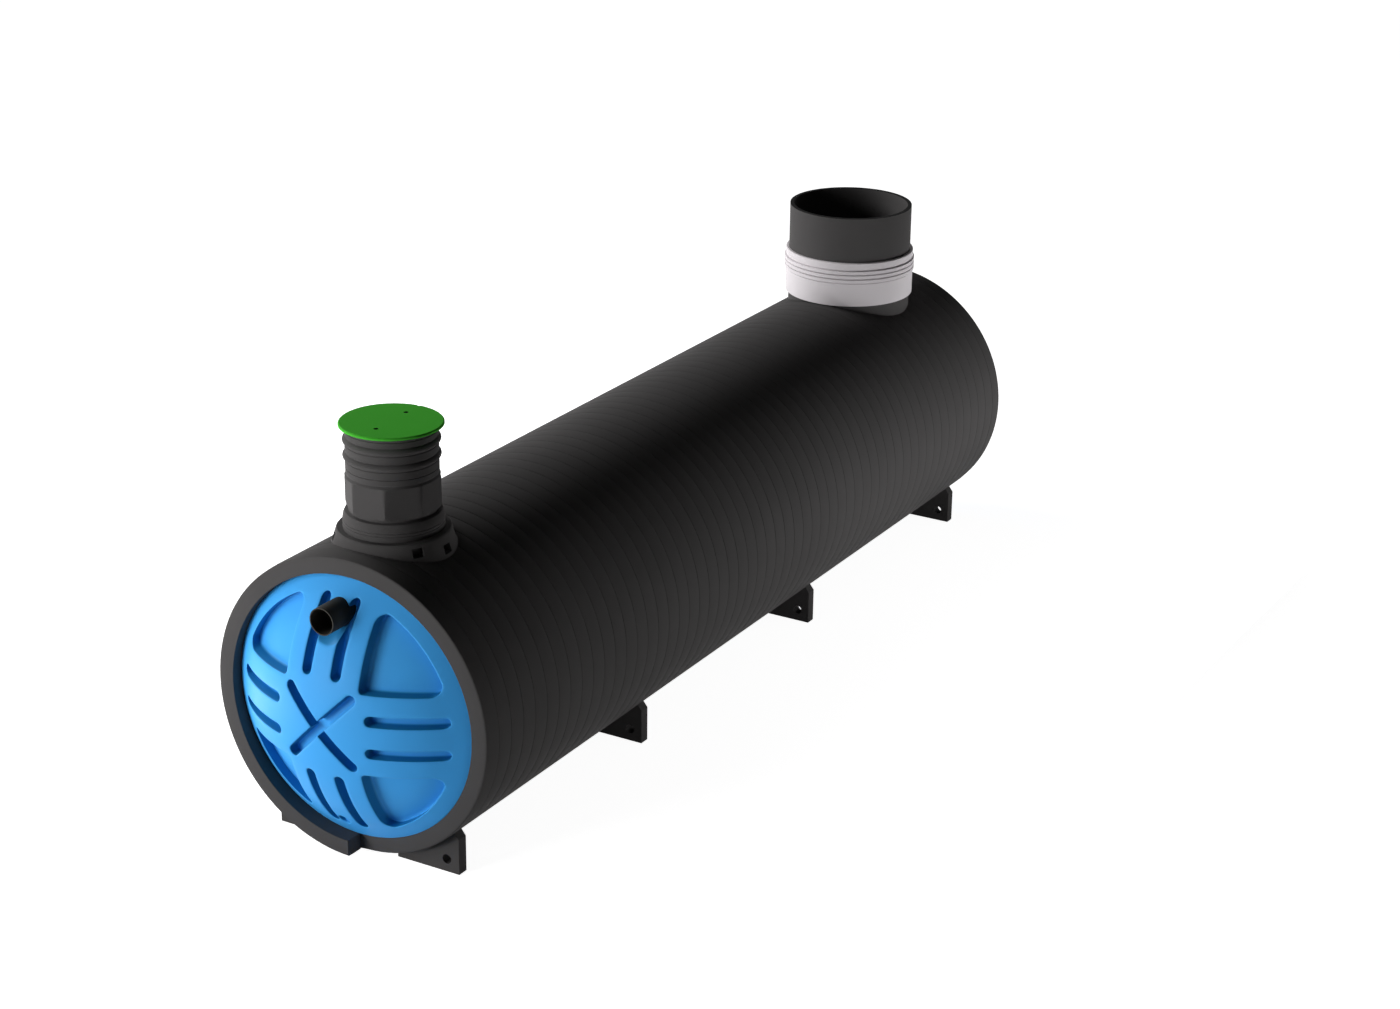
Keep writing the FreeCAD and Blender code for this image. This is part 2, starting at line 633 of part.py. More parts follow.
collar_outline += [
    ("Sizes.collar_outer_r", "Sizes.collar_top_z - 5"),
    ("Sizes.collar_outer_r - 5", "Sizes.collar_top_z"),
    (SLEEVE_R, "Sizes.collar_top_z"),
    (SLEEVE_R, STOP_HIGH),
    ("Sizes.collar_stop_r", STOP_HIGH),
    ("Sizes.collar_stop_r", STOP_LOW),
    (SLEEVE_R, STOP_LOW),
]
shaft_collar = turned_body("collar_sleeve", collar_outline, "Sizes.shaft_y")


# Feet: plates across the axis, cut to the pipe's round and drilled for an anchor
def foot(name, y, side):
    """One foot plate on the side given by the sign of x."""
    body = new_body(name)
    outline = plane_sketch(body, name + "_outline", "XZ_Plane")
    ground = "-(Sizes.tank_outer_r + Sizes.foot_drop)"
    inner_x, outer_x, top_x = [
        "%d * Sizes.%s" % (side, key) for key in ("foot_inner_x", "foot_half_span", "foot_top_x")
    ]
    px0, px1, px2 = [sheet_value(text) for text in (inner_x, outer_x, top_x)]
    pipe_r = sheet_value("Sizes.tank_outer_r")
    low = sheet_value(ground)
    shoulder = low + sheet_value("Sizes.foot_side_h")
    inner_z = -math.sqrt(pipe_r ** 2 - px0 ** 2)
    top_z = -math.sqrt(pipe_r ** 2 - px2 ** 2)
    corners = [V(px0, inner_z, 0), V(px0, low, 0), V(px1, low, 0), V(px1, shoulder, 0), V(px2, top_z, 0)]
    for index in range(4):
        outline.addGeometry(Part.LineSegment(corners[index], corners[index + 1]), False)
    angles = sorted((math.atan2(top_z, px2), math.atan2(inner_z, px0)))
    circle = Part.Circle(V(0, 0, 0), V(0, 0, 1), pipe_r)
    outline.addGeometry(Part.ArcOfCircle(circle, angles[0], angles[1]), False)
    for index in range(3):
        relation(outline, "Coincident", index, 2, index + 1, 1)
    top_end, inner_end = (2, 1) if side > 0 else (1, 2)
    relation(outline, "Coincident", 3, 2, 4, top_end)
    relation(outline, "Coincident", 0, 1, 4, inner_end)
    relation(outline, "Coincident", 4, 3, -1, 1)
    relation(outline, "Vertical", 0)
    relation(outline, "Horizontal", 1)
    relation(outline, "Vertical", 2)
    add_dimension(outline, "Radius", "Sizes.tank_outer_r", 4)
    add_dimension(outline, "DistanceX", inner_x, -1, 1, 0, 1)
    add_dimension(outline, "DistanceX", outer_x, -1, 1, 1, 2)
    add_dimension(outline, "DistanceX", top_x, -1, 1, 3, 2)
    add_dimension(outline, "DistanceY", ground, -1, 1, 1, 2)
    add_dimension(outline, "DistanceY", ground + " + Sizes.foot_side_h", -1, 1, 2, 2)
    plate = pad(body, outline, name + "_plate", "Sizes.foot_thick")
    plate.Reversed = True
    mark = plane_sketch(body, name + "_mark", "XZ_Plane")
    hole_x = "%d * Sizes.foot_hole_x" % side
    hole_y = ground + " + Sizes.foot_hole_h"
    centre = V(sheet_value(hole_x), sheet_value(hole_y), 0)
    mark.addGeometry(Part.Circle(centre, V(0, 0, 1), sheet_value("Sizes.foot_hole_r")), False)
    add_dimension(mark, "DistanceX", hole_x, -1, 1, 0, 3)
    add_dimension(mark, "DistanceY", hole_y, -1, 1, 0, 3)
    add_dimension(mark, "Radius", "Sizes.foot_hole_r", 0)
    drill = body.newObject("PartDesign::Pocket", name + "_drill")
    drill.Profile = mark
    drill.Type = "ThroughAll"
    place(body, y=y)
    return body


finished = {
    **wall_pieces,
    "front_end_cap": front_cap,
    "rear_end_cap": rear_cap,
    "inlet_pipe": inlet_pipe,
    "riser_saddle": saddle,
    **neck_quarters,
    "riser_lid": lid,
    "shaft_stub": shaft_stub,
    "shaft_collar": shaft_collar,
    "shaft_pipe": shaft_pipe,
}
for number in range(1, 5):
    for word, side in (("left", -1), ("right", 1)):
        plate_body = foot("plate_%s_%d" % (word, number), "Sizes.foot_y%d" % number, side)
        finished["foot_%s_%d" % (word, number)] = plate_body

doc.recompute()

# Every feature has to be sound before the solids are written
faulty = [obj.Name for obj in doc.Objects if "Invalid" in obj.State or "Error" in obj.State]
if faulty:
    raise RuntimeError("features in error: %s" % faulty)
for node, obj in finished.items():
    obj.Label = node
    shape = obj.Shape
    if shape.isNull() or not shape.isValid():
        raise RuntimeError("bad solid: %s" % node)
    print(node, len(shape.Solids), round(shape.Volume / 1e6, 2), "litres", shape.BoundBox)
    shape.exportStep("parts/%s.step" % node)
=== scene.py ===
import json
import math

import bpy
import numpy as np
from mathutils import Matrix, Vector
from mathutils.geometry import delaunay_2d_cdt


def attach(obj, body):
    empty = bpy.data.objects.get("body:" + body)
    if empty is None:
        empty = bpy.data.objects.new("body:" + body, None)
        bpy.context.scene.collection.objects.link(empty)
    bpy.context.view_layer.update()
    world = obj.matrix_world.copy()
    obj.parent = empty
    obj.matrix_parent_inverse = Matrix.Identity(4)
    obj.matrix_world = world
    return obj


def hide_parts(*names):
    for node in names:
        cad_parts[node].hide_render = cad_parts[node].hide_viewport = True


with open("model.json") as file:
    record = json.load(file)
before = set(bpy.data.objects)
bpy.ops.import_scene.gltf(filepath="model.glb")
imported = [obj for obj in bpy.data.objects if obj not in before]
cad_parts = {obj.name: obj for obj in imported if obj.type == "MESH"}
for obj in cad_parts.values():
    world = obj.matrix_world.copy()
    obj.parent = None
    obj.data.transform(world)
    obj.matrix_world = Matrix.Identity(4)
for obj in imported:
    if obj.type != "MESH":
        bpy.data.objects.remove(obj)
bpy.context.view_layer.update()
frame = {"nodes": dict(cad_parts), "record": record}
nodes = frame["nodes"]
scene = bpy.context.scene
scene.view_settings.view_transform = "Standard"

# Sizes in metres, in the part's frame
PIPE_R = 0.8959
BORE_R = 0.795
PITCH = 0.120
TURNS = 55
AXIS_Z = 0.923
MID_Y = 3.240
RISER_Y = 0.400 - MID_Y
RISER_HOLE_R = 0.2635
RISER_TURN = math.radians(3.7)
SHAFT_Y = 5.858 - MID_Y
SHAFT_HOLE_R = 0.398
SHAFT_TOP = AXIS_Z + 1.523
RIM_BAND = 0.0015
HOLE_REACH = 0.153
HOLE_R = 0.0138

# Scales of the plastics' patches, wear and grain
NOISE_ROUGHNESS = 0.55
PATCH_SCALE = 1.2
WEAR_SCALE = 6.0
WEAR_REACH = 0.06
GRAIN_STRENGTH = 0.12
GRAIN_HEIGHT = 0.0008
BEVEL_SAMPLES = 6


def srgb(red, green, blue):
    """Linear colour from screen values of 0 to 255."""
    def linear(value):
        value = value / 255
        return value / 12.92 if value <= 0.04045 else ((value + 0.055) / 1.055) ** 2.4
    return (linear(red), linear(green), linear(blue), 1.0)


class Shader:
    """Small helper that adds nodes to one material and links them."""

    def __init__(self, name):
        self.material = bpy.data.materials.new(name)
        self.material.use_nodes = True
        self.tree = self.material.node_tree
        self.bsdf = self.tree.nodes["Principled BSDF"]

    def node(self, kind, **settings):
        item = self.tree.nodes.new(kind)
        for key, value in settings.items():
            setattr(item, key, value)
        return item

    def link(self, source, target):
        self.tree.links.new(source, target)

    def position(self):
        return self.node("ShaderNodeNewGeometry").outputs["Position"]

    def normal(self):
        return self.node("ShaderNodeNewGeometry").outputs["Normal"]

    def noise(self, scale, detail):
        noise = self.node("ShaderNodeTexNoise")
        noise.inputs["Scale"].default_value = scale
        noise.inputs["Detail"].default_value = detail
        noise.inputs["Roughness"].default_value = NOISE_ROUGHNESS
        self.link(self.position(), noise.inputs["Vector"])
        return noise.outputs["Fac"]

    def ramp(self, value, first, last):
        """Colour that runs from a first to a last stop, each a place and a colour."""
        ramp = self.node("ShaderNodeValToRGB")
        for element, stop in zip(ramp.color_ramp.elements, (first, last)):
            element.position, element.color = stop
        self.link(value, ramp.inputs["Fac"])
        return ramp.outputs["Color"]

    def spread(self, value, low, high, start=0.0, end=1.0):
        """Map a value from start to end to a range from low to high."""
        remap = self.node("ShaderNodeMapRange")
        remap.inputs["From Min"].default_value = start
        remap.inputs["From Max"].default_value = end
        remap.inputs["To Min"].default_value = low
        remap.inputs["To Max"].default_value = high
        self.link(value, remap.inputs["Value"])
        return remap.outputs["Result"]

    def bump(self, height, strength, distance, under):
        """Bumps laid over another normal."""
        bump = self.node("ShaderNodeBump")
        bump.inputs["Strength"].default_value = strength
        bump.inputs["Distance"].default_value = distance
        self.link(height, bump.inputs["Height"])
        self.link(under, bump.inputs["Normal"])
        return bump.outputs["Normal"]

    def vector(self, operation, source, second=(0, 0, 0)):
        item = self.node("ShaderNodeVectorMath", operation=operation)
        self.link(source, item.inputs[0])
        item.inputs[1].default_value = second
        return item.outputs

    def part(self, source, axis):
        """One coordinate of a vector."""
        split = self.node("ShaderNodeSeparateXYZ")
        self.link(source, split.inputs[0])
        return split.outputs[axis]

    def math(self, operation, first, second):
        item = self.node("ShaderNodeMath", operation=operation)
        self.link(first, item.inputs[0])
        if isinstance(second, float):
            item.inputs[1].default_value = second
        else:
            self.link(second, item.inputs[1])
        return item.outputs["Value"]

    def blend(self, factor, colour, second):
        """Mix a linked colour towards a fixed one."""
        mix = self.node("ShaderNodeMix", data_type="RGBA")
        self.link(factor, mix.inputs["Factor"])
        self.link(colour, mix.inputs[6])
        mix.inputs[7].default_value = second
        return mix.outputs[2]

    def soft_edges(self, radius):
        bevel = self.node("ShaderNodeBevel")
        bevel.samples = BEVEL_SAMPLES
        bevel.inputs["Radius"].default_value = radius
        return bevel.outputs["Normal"]


def plastic(name, dark, light, roughness, specular, grain, edge, place=None, shade=None):
    """Moulded or drawn plastic: patches of tone, fine grain, rounded edges; painted shade in another colour
    at a place.
    """
    shader = Shader(name)
    patches = shader.noise(PATCH_SCALE, 4.0)
    colour = shader.ramp(patches, (0.3, dark), (0.7, light))
    if place is not None:
        colour = shader.blend(place(shader), colour, shade)
    shader.link(colour, shader.bsdf.inputs["Base Color"])
    wear = shader.noise(WEAR_SCALE, 5.0)
    rough = shader.spread(wear, roughness - WEAR_REACH, roughness + WEAR_REACH)
    shader.link(rough, shader.bsdf.inputs["Roughness"])
    fine = shader.noise(grain, 2.0)
    normal = shader.bump(fine, GRAIN_STRENGTH, GRAIN_HEIGHT, shader.soft_edges(edge))
    shader.link(normal, shader.bsdf.inputs["Normal"])
    shader.bsdf.inputs["Specular IOR Level"].default_value = specular
    return shader.material


def tone(colour, factor):
    return tuple(channel * factor for channel in colour[:3]) + (1.0,)


def shade_in_lid_holes(shader):
    """One inside the lid's two lifting holes, where a near-black colour paints in shade."""
    total = None
    for reach in (-HOLE_REACH, HOLE_REACH):
        centre = (-reach * math.sin(RISER_TURN), RISER_Y + reach * math.cos(RISER_TURN), 0)
        offset = shader.vector("SUBTRACT", shader.position(), centre)["Vector"]
        level = shader.vector("MULTIPLY", offset, (1, 1, 0))["Vector"]
        inside = shader.math("LESS_THAN", shader.vector("LENGTH", level)["Value"], HOLE_R)
        total = inside if total is None else shader.math("MAXIMUM", total, inside)
    return total


def shade_on_recess_walls(shader):
    """One on the recess walls of the caps, which run along the tank: there a darker blue paints in shade.
    """
    along = shader.part(shader.normal(), "Y")
    facing = shader.math("MULTIPLY", along, along)
    return shader.spread(facing, 0.0, 1.0, start=0.45, end=0.05)


def shade_on_shaft_top(shader):
    """One on the top face of the shaft, where a near-black colour paints in shade."""
    return shader.math("GREATER_THAN", shader.part(shader.position(), "Z"), SHAFT_TOP - RIM_BAND)


# Colours of the plastics
# Near-black painted shade, laid in the lid's holes and on the shaft's top face
PAINTED_SHADE_BLACK = (0.012, 0.012, 0.012, 1.0)
BLACK = (0.077, 0.074, 0.074, 1.0)
INLET = (0.052, 0.049, 0.043, 1.0)
BLUE = srgb(70, 169, 243)
# Darker blue of painted shade on the caps' recess walls
PAINTED_WALL_SHADE = srgb(30, 123, 180)
GREEN = srgb(73, 181, 54)
GREY = srgb(216, 211, 214)

pipe_look = plastic("pipe_plastic", tone(BLACK, 0.95), tone(BLACK, 1.05), 0.6, 0.006, 90, 0.004)
# The caps carry painted shade: a darker blue on their recess walls
cap_look = plastic(
    "cap_plastic", tone(BLUE, 0.97), tone(BLUE, 1.03), 0.45, 0.08, 160, 0.010, shade_on_recess_walls, PAINTED_WALL_SHADE
)
inlet_look = plastic("inlet_plastic", tone(INLET, 0.8), tone(INLET, 1.2), 0.45, 0.02, 200, 0.001)
riser_look = plastic("riser_plastic", tone(BLACK, 0.95), tone(BLACK, 1.05), 0.55, 0.006, 140, 0.004)
# The lid carries painted shade: near black inside its two holes
lid_look = plastic(
    "lid_plastic", tone(GREEN, 0.96), tone(GREEN, 1.04), 0.5, 0.006, 120, 0.003, shade_in_lid_holes, PAINTED_SHADE_BLACK
)
# The shaft carries painted shade: near black on its top face
shaft_look = plastic(
    "shaft_plastic", tone(BLACK, 0.95), tone(BLACK, 1.05), 0.55, 0.006, 110, 0.003, shade_on_shaft_top, PAINTED_SHADE_BLACK
)
collar_look = plastic("collar_plastic", tone(GREY, 0.98), tone(GREY, 1.02), 0.42, 0.05, 150, 0.002)
foot_look = plastic("foot_plastic", tone(BLACK, 0.92), tone(BLACK, 1.05), 0.65, 0.006, 70, 0.004)

LOOKS = {
    "black_pipe": pipe_look,
    "blue_cap": cap_look,
    "inlet_black": inlet_look,
    "riser_black": riser_look,
    "green_lid": lid_look,
    "shaft_black": shaft_look,
    "grey_collar": collar_look,
    "foot_black": foot_look,
}


def dress(obj, material):
    obj.data.materials.clear()
    obj.data.materials.append(material)


for entry in frame["record"]["subparts"]:
    dress(nodes[entry["node"]], LOOKS[entry["material_slot"]])


HOLE_SIDES = 96


def add_mesh(name, points, faces):
    mesh = bpy.data.meshes.new(name)
    mesh.from_pydata(points, [], faces)
    obj = bpy.data.objects.new(name, mesh)
    scene.collection.objects.link(obj)
    return obj


def carve(obj, radius, length, at, turn=(0, 0, 0)):
    """Cut a round hole through a closed mesh."""
    bpy.ops.mesh.primitive_cylinder_add(
        vertices=HOLE_SIDES, radius=radius, depth=length, location=at, rotation=turn
    )
    tool = bpy.context.object
    modifier = obj.modifiers.new("hole", "BOOLEAN")
    modifier.operation = "DIFFERENCE"
    modifier.solver = "MANIFOLD"
    modifier.object = tool
    graph = bpy.context.evaluated_depsgraph_get()
    carved = bpy.data.meshes.new_from_object(obj.evaluated_get(graph))
    obj.modifiers.clear()
    obj.data = carved
    bpy.data.objects.remove(tool)


def soften(obj, degrees):
    """Smooth shading with edges sharper than an angle kept."""
    obj.data.shade_smooth()
    obj.data.set_sharp_from_angle(angle=math.radians(degrees))


def finish_piece(obj, look, slot, *replaced):
    dress(obj, look)
    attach(obj, "root")
    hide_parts(*replaced)


# Wound pipe: one helical band from end to end, with a shallow groove at its seam
SEGMENTS = 120
END_ROUND = 0.015
BAND = ((0.0, 0.0040), (0.014, 0.0030), (0.030, 0.0005), (0.050, 0.0001), (0.5, 0.0),
        (0.950, 0.0001), (0.970, 0.0005), (0.986, 0.0030))


def end_drop(distance):
    """Drop of the rounded corner at a distance from an end face."""
    left = max(END_ROUND - distance, 0.0)
    return END_ROUND - math.sqrt(END_ROUND ** 2 - left ** 2)


def wound_pipe():
    steps = SEGMENTS * TURNS
    points = []

    def point(step, share, radius):
        angle = 2 * math.pi * step / SEGMENTS
        along = PITCH * (step / SEGMENTS + share - 1) - MID_Y
        points.append((-radius * math.sin(angle), along, AXIS_Z - radius * math.cos(angle)))

    rows = []
    for number, (share, drop) in enumerate(BAND):
        rows.append(len(points))
        for step in range(steps + 1 + (SEGMENTS if number == 0 else 0)):
            depth = drop
            if step < SEGMENTS:
                depth = end_drop(share * PITCH)
            if number == 0 and step > steps:
                depth = END_ROUND
            elif share > 0.5 and step > steps - SEGMENTS:
                depth = end_drop((1 - share) * PITCH)
            point(step, share, PIPE_R - depth)
    front = len(points)
    for step in range(SEGMENTS + 1):
        point(step, 0.0, BORE_R)
    rear = len(points)
    for step in range(steps, steps + SEGMENTS + 1):
        point(step, 0.0, BORE_R)

    faces = []
    for step in range(steps):
        for number in range(len(BAND)):
            low = rows[number] + step
            high = rows[number + 1] + step if number + 1 < len(BAND) else rows[0] + step + SEGMENTS
            faces.append((low, low + 1, high + 1, high))
    for step in range(SEGMENTS):
        faces.append((rows[0] + step, front + step, front + step + 1, rows[0] + step + 1))
        last = rows[0] + steps + step
        faces.append((last, last + 1, rear + step + 1, rear + step))
        if 0 < step < SEGMENTS - 1:
            faces.append((front + step, rear + step, rear + step + 1, front + step + 1))
    faces.append((front, front + SEGMENTS, rear, rear + 1, front + 1))
    faces.append((front + SEGMENTS - 1, rear + SEGMENTS - 1, rear + SEGMENTS, rear, front + SEGMENTS))
    faces.append(rows + [rows[0] + SEGMENTS, front + SEGMENTS, front])
    step_end = [row + steps for row in rows] + [rows[0] + steps + SEGMENTS, rear + SEGMENTS, rear]
    faces.append(step_end[::-1])
    return points, faces


pipe = add_mesh("wound_pipe", *wound_pipe())
for radius, along in ((RISER_HOLE_R, RISER_Y), (SHAFT_HOLE_R, SHAFT_Y)):
    carve(pipe, radius, 1.0, (0, along, AXIS_Z + PIPE_R))
soften(pipe, 35)
finish_piece(pipe, pipe_look, "black_pipe", *[name for name in nodes if name.startswith("pipe_")])


# End caps: the moulded dome with its recesses, their rims and floors rounded
CAP_R = 0.7946
DOME_R = 1.041
DOME_PROUD = 0.2975
CREST = DOME_R - DOME_PROUD
FLANK_TOP_R = 0.660
FLANK_LOW = -0.049
FLANK_SLOPE = 0.1094 / 0.135
RECESS = 0.076
SLOT_HALF = 0.031
SLOT_X = 0.097
SLOT_ENDS = (0.317, 0.667)
BAR_REACH = 0.280 * math.sqrt(0.5)
SECTOR_EDGE = 0.242
SECTOR_RIM = 0.711
SECTOR_ROUND = 0.026
TIP_ROUND = 0.048
TIP_UP = SECTOR_EDGE + TIP_ROUND
TIP_OUT = math.sqrt((SECTOR_RIM - TIP_ROUND) ** 2 - TIP_UP ** 2)
RIM_ROUND = 0.006
FLOOR_ROUND = 0.020
DIMPLE_ROUND = 0.006
DRAFT = 0.003
SKIRT = 0.190
INNER_R = DOME_R - RECESS - 0.012
END_Y = 3.300
INLET_UP = 0.608
INLET_HOLE_R = 0.0768
FUNNEL_LOW = (0.068, 0.034)
FUNNEL_SLOPE = 0.53
DIMPLE = (-0.022, -0.667, 0.033, 0.014)
INNER_RINGS = (0.72, 0.64, 0.54, 0.42, 0.28, 0.12)
STEP = 0.016
GRID = 0.028
GRID_CLEAR = 0.012
FUNNEL_POINTS = 72
FUNNEL_LINES = (-0.008, -0.004, 0.0, 0.004, 0.008)
FUNNEL_BLEND = 0.010


def capsule(x, z, x0, z0, x1, z1, half):
    """Distance inside a round-ended slot."""
    share = ((x - x0) * (x1 - x0) + (z - z0) * (z1 - z0)) / ((x1 - x0) ** 2 + (z1 - z0) ** 2)
    share = np.clip(share, 0, 1)
    return half - np.hypot(x - x0 - share * (x1 - x0), z - z0 - share * (z1 - z0))


def sector_depth(x, z):
    """Distance inside the rounded sector of the first quarter."""
    side = SECTOR_EDGE + SECTOR_ROUND - x
    foot = SECTOR_EDGE + SECTOR_ROUND - z
    corner = np.hypot(np.maximum(side, 0), np.maximum(foot, 0)) + np.minimum(np.maximum(side, foot), 0)
    depth = np.minimum(SECTOR_ROUND - corner, SECTOR_RIM - np.hypot(x, z))
    for u, v in ((x, z), (z, x)):
        beyond = (u > TIP_OUT) & (v * TIP_OUT < u * TIP_UP)
        depth = np.where(beyond, TIP_ROUND - np.hypot(u - TIP_OUT, v - TIP_UP), depth)
    return depth


def recess_depth(x, z):
    """Distance inside the nearest recess outline, negative on the raised face."""
    inside = capsule(x, z, -BAR_REACH, -BAR_REACH, BAR_REACH, BAR_REACH, SLOT_HALF)
    inside = np.maximum(inside, capsule(x, z, -BAR_REACH, BAR_REACH, BAR_REACH, -BAR_REACH, SLOT_HALF))
    for u, v in ((x, z), (z, x)):
        slot = capsule(np.abs(u), np.abs(v), SLOT_X, SLOT_ENDS[0], SLOT_X, SLOT_ENDS[1], SLOT_HALF)
        inside = np.maximum(inside, slot)
    return np.maximum(inside, sector_depth(np.abs(x), np.abs(z)))


def wall_drop(inside, depth, foot_round):
    """Drop of a recess wall: round rim, straight wall with a little draft, round foot."""
    rim = np.clip(inside + RIM_ROUND, 0, RIM_ROUND)
    drop = RIM_ROUND - np.sqrt(RIM_ROUND ** 2 - rim ** 2)
    drop += np.clip(inside / DRAFT, 0, 1) * (depth - RIM_ROUND - foot_round)
    foot = foot_round - np.clip(inside - DRAFT, 0, foot_round)
    return drop + np.sqrt(foot_round ** 2 - foot ** 2)


def ball_height(x, z):
    return np.sqrt(DOME_R ** 2 - x ** 2 - z ** 2) - CREST


def dome_height(x, z):
    """Ball in the middle, straight flank towards the rim."""
    radius = np.hypot(x, z)
    flank = FLANK_LOW + (BORE_R - radius) * FLANK_SLOPE
    ball = ball_height(x, z)
    return np.where(radius > FLANK_TOP_R, np.maximum(ball, flank), ball)


def blend_low(first, second, width):
    """Lower of two heights, rounded where they meet."""
    near = np.maximum(width - np.abs(first - second), 0)
    return np.minimum(first, second) - near ** 2 / (4 * width)


def cap_height(x, z, front):
    """How far the cap stands out of the pipe's end, over the disc."""
    dome = dome_height(x, z)
    floor_height = ball_height(x, z) - RECESS
    height = dome - wall_drop(recess_depth(x, z), dome - floor_height, FLOOR_ROUND)
    if front:
        inlet = np.hypot(x, z - INLET_UP)
        funnel = FUNNEL_LOW[1] + (inlet - FUNNEL_LOW[0]) / FUNNEL_SLOPE
        height = blend_low(height, funnel, FUNNEL_BLEND)
        dimple_x, dimple_z, dimple_r, level = DIMPLE
        inside = dimple_r - np.hypot(x - dimple_x, z - dimple_z)
        height -= wall_drop(inside, np.maximum(height - level, RIM_ROUND + DIMPLE_ROUND), DIMPLE_ROUND)
    return height


def arc_points(x, z, radius, begin, end):
    """Points along an arc, its last one left out."""
    count = max(6, math.ceil(abs(end - begin) * radius / STEP))
    angles = [begin + (end - begin) * number / count for number in range(count)]
    return [(x + radius * math.cos(angle), z + radius * math.sin(angle)) for angle in angles]


def line_points(start, end):
    """Points along a line, its last one left out."""
    count = max(1, math.ceil(math.dist(start, end) / STEP))
    shares = [number / count for number in range(count)]
    return [(start[0] + (end[0] - start[0]) * t, start[1] + (end[1] - start[1]) * t) for t in shares]


def slot_outline(x0, z0, x1, z1, radius):
    along = math.atan2(z1 - z0, x1 - x0)
    quarter = math.pi / 2
    far = arc_points(x1, z1, radius, along - quarter, along + quarter)
    near = arc_points(x0, z0, radius, along + quarter, along + 3 * quarter)
    offset_x = radius * math.sin(along)
    offset_z = radius * math.cos(along)
    back_line = line_points((x1 - offset_x, z1 + offset_z), (x0 - offset_x, z0 + offset_z))
    out_line = line_points((x0 + offset_x, z0 - offset_z), (x1 + offset_x, z1 - offset_z))
    return far + back_line + near + out_line


def sector_outline(inside):
    """Rounded sector of the first quarter, drawn in by a distance."""
    quarter = math.pi / 2
    slant = math.atan2(TIP_UP, TIP_OUT)
    edge = SECTOR_EDGE + inside
    root = SECTOR_EDGE + SECTOR_ROUND
    tip = TIP_ROUND - inside
    return (
        arc_points(root, root, SECTOR_ROUND - inside, 2 * quarter, 3 * quarter)
        + line_points((root, edge), (TIP_OUT, edge))
        + arc_points(TIP_OUT, TIP_UP, tip, -quarter, slant)
        + arc_points(0, 0, SECTOR_RIM - inside, slant, quarter - slant)
        + arc_points(TIP_UP, TIP_OUT, tip, quarter - slant, 2 * quarter)
        + line_points((edge, TIP_OUT), (edge, root))
    )


def recess_outlines(inside):
    """Outlines of all recesses, drawn in by a distance."""
    half = SLOT_HALF - inside
    low, high = SLOT_ENDS
    outlines = []
    for side in (-1, 1):
        outlines.append(slot_outline(-BAR_REACH, -side * BAR_REACH, BAR_REACH, side * BAR_REACH, half))
        for end in (-1, 1):
            outlines.append(slot_outline(side * SLOT_X, end * low, side * SLOT_X, end * high, half))
            outlines.append(slot_outline(end * low, side * SLOT_X, end * high, side * SLOT_X, half))
            outlines.append([(side * x, end * z) for x, z in sector_outline(inside)])
    return outlines


def funnel_outline(offset):
    """Where the funnel meets the dome, moved outwards by an offset."""
    points = []
    for number in range(FUNNEL_POINTS):
        angle = 2 * math.pi * number / FUNNEL_POINTS
        radius = INLET_HOLE_R
        for _ in range(20):
            height = dome_height(radius * math.cos(angle), INLET_UP + radius * math.sin(angle))
            radius = FUNNEL_LOW[0] + FUNNEL_SLOPE * (height - FUNNEL_LOW[1])
        radius += offset
        points.append((radius * math.cos(angle), INLET_UP + radius * math.sin(angle)))
    return points


def wall_lines(foot_round):
    """Distances inside an outline at which its rounded wall needs points."""
    quarter_turn = [math.radians(degrees) for degrees in (0, 30, 60, 90)]
    rim = [RIM_ROUND * (math.sin(angle) - 1) for angle in quarter_turn]
    return rim + [DRAFT + foot_round * (1 - math.cos(angle)) for angle in quarter_turn]


def cap_plan(front):
    """Points and edges over the disc: the rim, lines along every rounding, and a grid between them."""
    loops = [arc_points(0, 0, CAP_R, 0, 2 * math.pi)]
    for inside in wall_lines(FLOOR_ROUND):
        loops += recess_outlines(inside)
    if front:
        for inside in wall_lines(DIMPLE_ROUND):
            loops.append(arc_points(DIMPLE[0], DIMPLE[1], DIMPLE[2] - inside, 0, 2 * math.pi))
        loops += [funnel_outline(offset) for offset in FUNNEL_LINES]
        loops += [arc_points(0, INLET_UP, radius, 0, 2 * math.pi) for radius in (0.06, INLET_HOLE_R, 0.088)]
    points = []
    edges = []
    for loop in loops:
        first = len(points)
        points += loop
        edges += [(first + k, first + (k + 1) % len(loop)) for k in range(len(loop))]
    side = np.arange(-CAP_R, CAP_R, GRID)
    x, z = [values.ravel() for values in np.meshgrid(side, side)]
    depth = recess_depth(x, z)
    off_walls = (depth < -GRID_CLEAR) | (depth > DRAFT + FLOOR_ROUND + 0.004)
    free = off_walls & (np.hypot(x, z) < CAP_R - GRID_CLEAR)
    points += list(zip(x[free].tolist(), z[free].tolist()))
    return points, edges


